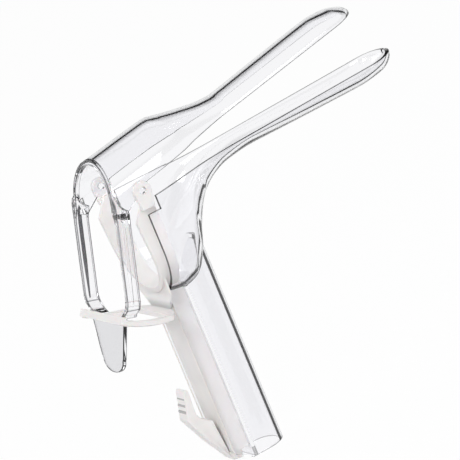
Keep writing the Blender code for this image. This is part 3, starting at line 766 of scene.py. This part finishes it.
def ratchet_shelf():
    """Frame on an arc about the pivot; the lever's tab passes through it."""
    start = shelf_start()
    turned = math.atan2(-start.x, -start.y) - UPPER_ANGLE
    radius = start.length
    bar_turn = turned + (SIDE_GAP + 0.4 * MM) / radius
    end_turn = bar_turn + SHELF_WALL / radius
    outer_half = LEVER_HALF - 1.7 * MM
    inner_half = outer_half - SHELF_WIDTH
    low = radius + 0.6 * MM
    high = low + SHELF_WALL
    steps = 10
    root_half = STEM_HALF - 0.4 * MM
    first = math.asin((-HANDLE_FRONT - 1.0 * MM) / radius)
    wide = math.asin(SHELF_ARC_END / radius)
    last = (bar_turn + end_turn) / 2
    clear = math.asin((-HANDLE_FRONT + SIDE_GAP) / radius)
    turns = [first] + [clear + (last - clear) * i / steps for i in range(steps + 1)]
    loops = []
    for turn in turns:
        share = min(max((turn - clear) / (wide - clear), 0), 1)
        share = math.sin(share * math.pi / 2)
        half = root_half + (outer_half - root_half) * share
        loops.append(shelf_section(-half, half, turn, low, high))
    plate = lofted("shelf", loops)
    for side in (-1, 1):
        combine(plate, shelf_skirt(side, loops[1:], radius + 0.9 * MM, low + SHELF_SKIRT), "UNION")
    window = []
    for i in range(steps + 1):
        turn = wide + (last - wide) * i / steps
        window.append(shelf_section(-inner_half, inner_half, turn, low - 2 * MM, high + 2 * MM))
    combine(plate, lofted("window", window), "DIFFERENCE")
    bar_half = outer_half + 0.2 * MM
    top = low - 1.2 * MM
    bar = [shelf_section(-bar_half, bar_half, turn, top, top + SHELF_HEIGHT) for turn in (bar_turn, end_turn)]
    combine(plate, lofted("bar", bar), "UNION")
    return plate


def yoke():
    """Band, bosses, stem, web and shelf, as one moulding."""
    body = yoke_band()
    for side in (-1, 1):
        combine(body, boss(side), "UNION")
    combine(body, stem(), "UNION")
    combine(body, front_web(), "UNION")
    combine(body, ratchet_shelf(), "UNION")
    body.location.y = PIVOT_Y
    return body


# Thumb latch

def thumb_latch():
    """Foot under the yoke's stem, with a ribbed pad to press."""
    hinge = Vector((0, HANDLE_FRONT + 1.4 * MM, LATCH_HINGE_HEIGHT))
    front = HANDLE_FRONT + 0.4 * MM - SIDE_GAP
    root = STEM_BOTTOM - SIDE_GAP
    heel, heel_height = LATCH_HEEL
    top, top_height = LATCH_TOP
    outline = [(3.0 * MM, 0.3 * MM), (-1.2 * MM, 1.0 * MM), (-7.8 * MM, 12.5 * MM), LATCH_HEEL,
               (heel + 0.8 * MM, heel_height + 2.5 * MM), (top - 0.6 * MM, top_height - 0.6 * MM),
               LATCH_TOP, (top + 1.4 * MM, top_height - 0.8 * MM), (-8.6 * MM, 25 * MM),
               (-7.4 * MM, 22.6 * MM), LATCH_CROTCH, (front, root + 1.5 * MM), (front, root),
               (3.0 * MM, root)]
    body = rounded(prism("thumb_latch", outline, -LATCH_HALF, LATCH_HALF, across), 0.5 * MM, FACE)
    run = Vector((top - heel, top_height - heel_height)).normalized()
    side = LATCH_HALF - RIB_INSET
    for i in range(RIB_COUNT):
        along = RIB_START + i * RIB_PITCH
        centre = (heel + run.x * along + 0.5 * MM, heel_height + run.y * along)
        rib = prism("rib", disc_outline(centre, RIB_RADIUS, 32), -side, side, across)
        # The ribs take the EDGE slot, which on the white pieces holds the ribs' painted shade
        combine(body, painted(rib, EDGE), "UNION")
    body.data.transform(Matrix.Translation(-hinge))
    body.location = hinge + Vector((0, PIVOT_Y, 0))
    return body


# Finishes

def node_group(name):
    """New material, its nodes and links, and its main shader."""
    result = bpy.data.materials.new(name)
    result.use_nodes = True
    tree = result.node_tree
    return result, tree.nodes, tree.links, tree.nodes["Principled BSDF"]


def noise(nodes, links, scale, detail, stretch=(1, 1, 1)):
    """Noise in the object's own coordinates."""
    place = nodes.new("ShaderNodeTexCoord")
    mapping = nodes.new("ShaderNodeMapping")
    mapping.inputs["Scale"].default_value = stretch
    texture = nodes.new("ShaderNodeTexNoise")
    texture.inputs["Scale"].default_value = scale
    texture.inputs["Detail"].default_value = detail
    links.new(place.outputs["Object"], mapping.inputs["Vector"])
    links.new(mapping.outputs["Vector"], texture.inputs["Vector"])
    return texture.outputs["Fac"]


def ranged(nodes, links, value, low, high):
    """Noise, which lies mostly between 0.3 and 0.7, spread from low to high."""
    result = nodes.new("ShaderNodeMapRange")
    result.inputs["From Min"].default_value = 0.3
    result.inputs["From Max"].default_value = 0.7
    result.inputs["To Min"].default_value = low
    result.inputs["To Max"].default_value = high
    links.new(value, result.inputs["Value"])
    return result.outputs["Result"]


def bump(nodes, links, shader, height, strength, distance):
    """Lets a height roughen the shader's normal."""
    result = nodes.new("ShaderNodeBump")
    result.inputs["Strength"].default_value = strength
    result.inputs["Distance"].default_value = distance
    links.new(height, result.inputs["Height"])
    links.new(result.outputs["Normal"], shader.inputs["Normal"])


def two_inputs(nodes, links, operation, first, second):
    """Result of a calculation with two sockets."""
    result = nodes.new("ShaderNodeMath")
    result.operation = operation
    links.new(first, result.inputs[0])
    links.new(second, result.inputs[1])
    return result.outputs[0]


def mixed(nodes, links, share, first, second):
    """Mix of two shaders: 0 gives the first one and 1 the second."""
    mixer = nodes.new("ShaderNodeMixShader")
    links.new(share, mixer.inputs[0])
    links.new(first, mixer.inputs[1])
    links.new(second, mixer.inputs[2])
    return mixer.outputs[0]


def seen_directly(nodes, links):
    """1 for rays from the camera and for those that gloss or glass sends on, and 0 for other light."""
    path = nodes.new("ShaderNodeLightPath")
    seen = two_inputs(nodes, links, "MAXIMUM", path.outputs["Is Camera Ray"], path.outputs["Is Glossy Ray"])
    return two_inputs(nodes, links, "MAXIMUM", seen, path.outputs["Is Transmission Ray"])


def clear_plastic(name, face, edge, inside=None, line=None):
    """Clear moulding, with painted shade: its colour turns darker where it is seen edge-on.

    inside is the painted dark colour of its faces seen from within. line gives four values of Facing, between
    which those faces turn dark and clear again: a painted shade line, for the line an inner wall shows near
    its outline.
    """
    result, nodes, links, shader = node_group(name)
    shader.inputs["Transmission Weight"].default_value = 1.0
    shader.inputs["IOR"].default_value = 1.49
    weight = nodes.new("ShaderNodeLayerWeight")
    weight.inputs["Blend"].default_value = 0.5
    ramp = nodes.new("ShaderNodeValToRGB")
    ramp.color_ramp.elements[0].position = 0.62
    ramp.color_ramp.elements[0].color = (*face, 1)
    ramp.color_ramp.elements[1].position = 0.97
    ramp.color_ramp.elements[1].color = (*edge, 1)
    links.new(weight.outputs["Facing"], ramp.inputs["Fac"])
    colour = ramp.outputs["Color"]
    within = nodes.new("ShaderNodeNewGeometry").outputs["Backfacing"]
    if inside:
        mix = nodes.new("ShaderNodeMix")
        mix.data_type = "RGBA"
        links.new(within, mix.inputs["Factor"])
        links.new(colour, mix.inputs["A"])
        mix.inputs["B"].default_value = (*inside, 1)
        colour = mix.outputs["Result"]
    links.new(colour, shader.inputs["Base Color"])
    flow = noise(nodes, links, 60.0, 2.0, (1, 0.3, 1))
    links.new(ranged(nodes, links, flow, 0.0, 0.02), shader.inputs["Roughness"])
    bump(nodes, links, shader, flow, 0.012, 0.0006)
    finish = shader.outputs[0]
    if line:
        band = nodes.new("ShaderNodeValToRGB")
        marks = band.color_ramp.elements
        marks[0].position, marks[0].color = line[0], (0, 0, 0, 1)
        marks[1].position, marks[1].color = line[3], (0, 0, 0, 1)
        for at in line[1:3]:
            marks.new(at).color = (1, 1, 1, 1)
        links.new(weight.outputs["Facing"], band.inputs["Fac"])
        seen = two_inputs(nodes, links, "MULTIPLY", band.outputs["Color"], within)
        dark = nodes.new("ShaderNodeBsdfDiffuse")
        dark.inputs["Color"].default_value = (*LINE_SHADE, 1)
        finish = mixed(nodes, links, seen, finish, dark.outputs[0])
    light = nodes.new("ShaderNodeBsdfTransparent")
    light.inputs["Color"].default_value = (0.94, 0.94, 0.95, 1)
    shadow = nodes.new("ShaderNodeLightPath").outputs["Is Shadow Ray"]
    surface = mixed(nodes, links, shadow, finish, light.outputs[0])
    links.new(surface, nodes["Material Output"].inputs["Surface"])
    return result


def white_plastic(name, colour, shade):
    """Opaque moulding with a soft sheen, clouded faintly from colour toward shade, with a fine grain."""
    result, nodes, links, shader = node_group(name)
    shader.inputs["IOR"].default_value = 1.47
    shader.inputs["Subsurface Weight"].default_value = 0.12
    shader.inputs["Subsurface Scale"].default_value = 0.002
    cloud = noise(nodes, links, 90.0, 4.0)
    mix = nodes.new("ShaderNodeMix")
    mix.data_type = "RGBA"
    mix.inputs["A"].default_value = (*colour, 1)
    mix.inputs["B"].default_value = (*shade, 1)
    links.new(ranged(nodes, links, cloud, 0.0, 0.6), mix.inputs["Factor"])
    links.new(mix.outputs["Result"], shader.inputs["Base Color"])
    links.new(ranged(nodes, links, cloud, 0.28, 0.42), shader.inputs["Roughness"])
    grain = noise(nodes, links, 2600.0, 2.0)
    bump(nodes, links, shader, grain, 0.15, 0.00005)
    return result


CLEAR = clear_plastic("clear_plastic", CLEAR_FACE, CLEAR_SIDE_SHADE)
# Rounds and cut rims in painted shade: near black, for the dark outlines along the clear plastic's edges
CLEAR_EDGE_SHADE = clear_plastic("clear_edge_painted_shade", (0.14, 0.14, 0.15), CLEAR_DARKEST_SHADE)
CLEAR_PRESS = clear_plastic("clear_press", (0.72, 0.72, 0.74), CLEAR_DARKEST_SHADE)
# Painted shade lines: near-black bands on inner walls and bores, and grooves that turn black when seen from
# within
CLEAR_INNER = clear_plastic("clear_inner", CLEAR_FACE, CLEAR_SIDE_SHADE, line=(0.25, 0.26, 0.285, 0.3))
CLEAR_THIN = clear_plastic("clear_thin", CLEAR_FACE, CLEAR_SIDE_SHADE, line=(0.25, 0.255, 0.26, 0.268))
CLEAR_BORE = clear_plastic("clear_bore", CLEAR_FACE, CLEAR_DARKEST_SHADE, line=(0.25, 0.26, 0.32, 0.345))
CLEAR_GROOVE = clear_plastic("clear_groove", CLEAR_FACE, CLEAR_DARKEST_SHADE, inside=LINE_SHADE)
FROST = white_plastic("frosted_edge", (0.9, 0.87, 0.83), (0.82, 0.79, 0.75))
WHITE = white_plastic("white_plastic", (0.86, 0.84, 0.825), (0.80, 0.78, 0.765))
# Ribs in painted shade: grey, for the shadows between the latch's ribs
WHITE_RIB_SHADE = white_plastic("white_rib_painted_shade", (0.42, 0.41, 0.41), (0.5, 0.49, 0.485))

# Finishes in the order of the slots, from FACE to INNER
UPPER_FINISHES = (CLEAR, CLEAR_EDGE_SHADE, CLEAR_GROOVE, CLEAR_PRESS, FROST, CLEAR_THIN)
LOWER_FINISHES = (CLEAR, CLEAR_EDGE_SHADE, CLEAR_BORE, CLEAR_PRESS, FROST, CLEAR_INNER)
WHITE_FINISHES = (WHITE, WHITE_RIB_SHADE, WHITE, WHITE, WHITE, WHITE)


def dress(item, name, body, node, surfaces):
    """Names the piece, gives it its finish and lets it ride in the CAD node's place."""
    item.name = name
    for index, surface in enumerate(surfaces):
        item.data.materials[index] = surface
    item.data.shade_smooth()
    item.data.set_sharp_from_angle(angle=SHARP_ANGLE)
    bpy.context.view_layer.update()
    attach(item, body)
    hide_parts(node)


def floor():
    """Pale floor that shows as near white and still takes the object's shadow."""
    bm = bmesh.new()
    for x, y in ((-1, -1), (1, -1), (1, 1), (-1, 1)):
        bm.verts.new((x * FLOOR_HALF, y * FLOOR_HALF, -FLOOR_DROP))
    bm.faces.new(bm.verts[:])
    item = add_object("floor", bm)
    result, nodes, links, shader = node_group("floor")
    shader.inputs["Base Color"].default_value = (0.9, 0.9, 0.9, 1)
    shader.inputs["Roughness"].default_value = 0.9
    glow = nodes.new("ShaderNodeEmission")
    share = nodes.new("ShaderNodeMath")
    share.operation = "MULTIPLY"
    share.inputs[1].default_value = FLOOR_GLOW
    links.new(seen_directly(nodes, links), share.inputs[0])
    surface = mixed(nodes, links, share.outputs[0], shader.outputs[0], glow.outputs[0])
    links.new(surface, nodes["Material Output"].inputs["Surface"])
    item.data.materials[FACE] = result


def world():
    """White at the horizon, with a dark band above it and soft light overhead."""
    result = bpy.data.worlds.new("studio")
    bpy.context.scene.world = result
    result.use_nodes = True
    nodes, links = result.node_tree.nodes, result.node_tree.links
    place = nodes.new("ShaderNodeTexCoord")
    split = nodes.new("ShaderNodeSeparateXYZ")
    links.new(place.outputs["Generated"], split.inputs[0])
    ramp = nodes.new("ShaderNodeValToRGB")
    stops = ramp.color_ramp.elements
    stops[0].position, stops[0].color = 0.0, (1, 1, 1, 1)
    stops[1].position, stops[1].color = 0.26, (1, 1, 1, 1)
    for at, level in ((0.34, 0.06), (0.6, 0.06), (0.72, 0.9), (1.0, 0.9)):
        stop = stops.new(at)
        stop.color = (level, level, level, 1)
    links.new(split.outputs["Z"], ramp.inputs["Fac"])
    fill = nodes.new("ShaderNodeBackground")
    fill.inputs["Color"].default_value = (0.42, 0.42, 0.43, 1)
    shown = nodes.new("ShaderNodeBackground")
    links.new(ramp.outputs["Color"], shown.inputs["Color"])
    surface = mixed(nodes, links, seen_directly(nodes, links), fill.outputs[0], shown.outputs[0])
    links.new(surface, nodes["World Output"].inputs["Surface"])


def lamp(name, place, target, size, power):
    """Square area lamp that faces its target."""
    data = bpy.data.lights.new(name, "AREA")
    data.shape = "RECTANGLE"
    data.size, data.size_y = size, size
    data.energy = power
    data.specular_factor = LAMP_GLOSS
    item = bpy.data.objects.new(name, data)
    bpy.context.collection.objects.link(item)
    item.location = place
    item.rotation_mode = "QUATERNION"
    item.rotation_quaternion = (Vector(target) - Vector(place)).to_track_quat("-Z", "Y")


def camera():
    """Camera at the photograph's view, which is rolled to one side."""
    data = bpy.data.cameras.new("camera")
    data.sensor_width = SENSOR_WIDTH
    data.lens = CAMERA_LENS
    data.clip_start, data.clip_end = 0.01, 100
    item = bpy.data.objects.new("camera", data)
    bpy.context.collection.objects.link(item)
    turn = (Matrix.Rotation(CAMERA_AZIMUTH, 4, "Z") @ Matrix.Rotation(math.pi / 2 - CAMERA_ELEVATION, 4, "X")
            @ Matrix.Rotation(CAMERA_ROLL, 4, "Z"))
    place = Vector(CAMERA_PLACE) + Vector((0, PIVOT_Y, PIVOT_HEIGHT))
    item.matrix_world = Matrix.Translation(place) @ turn
    bpy.context.scene.camera = item


def settle(item):
    """Applies the piece's own placement, so that it lies in the row frame."""
    item.data.transform(item.matrix_basis)
    item.matrix_basis = Matrix()
    return item


dress(settle(lower_blade()), "clear_lower", "lower", "lower_blade", LOWER_FINISHES)
dress(settle(upper_blade()), "clear_upper", "upper", "upper_blade", UPPER_FINISHES)
dress(settle(yoke()), "white_yoke", "yoke", "yoke", WHITE_FINISHES)
dress(settle(thumb_latch()), "white_latch", "latch", "thumb_latch", WHITE_FINISHES)
floor()
world()
camera()
lamp("key", (0.5, -0.5, 0.8), (0, 0.02, 0.08), 0.4, 4.0)
lamp("side", (0.9, 0.15, 0.45), (0, 0.0, 0.08), 0.5, 2.2)
lamp("fill", (-0.5, -0.4, 0.6), (0, 0.02, 0.08), 0.6, 1.5)
bpy.context.scene.view_settings.view_transform = "Standard"
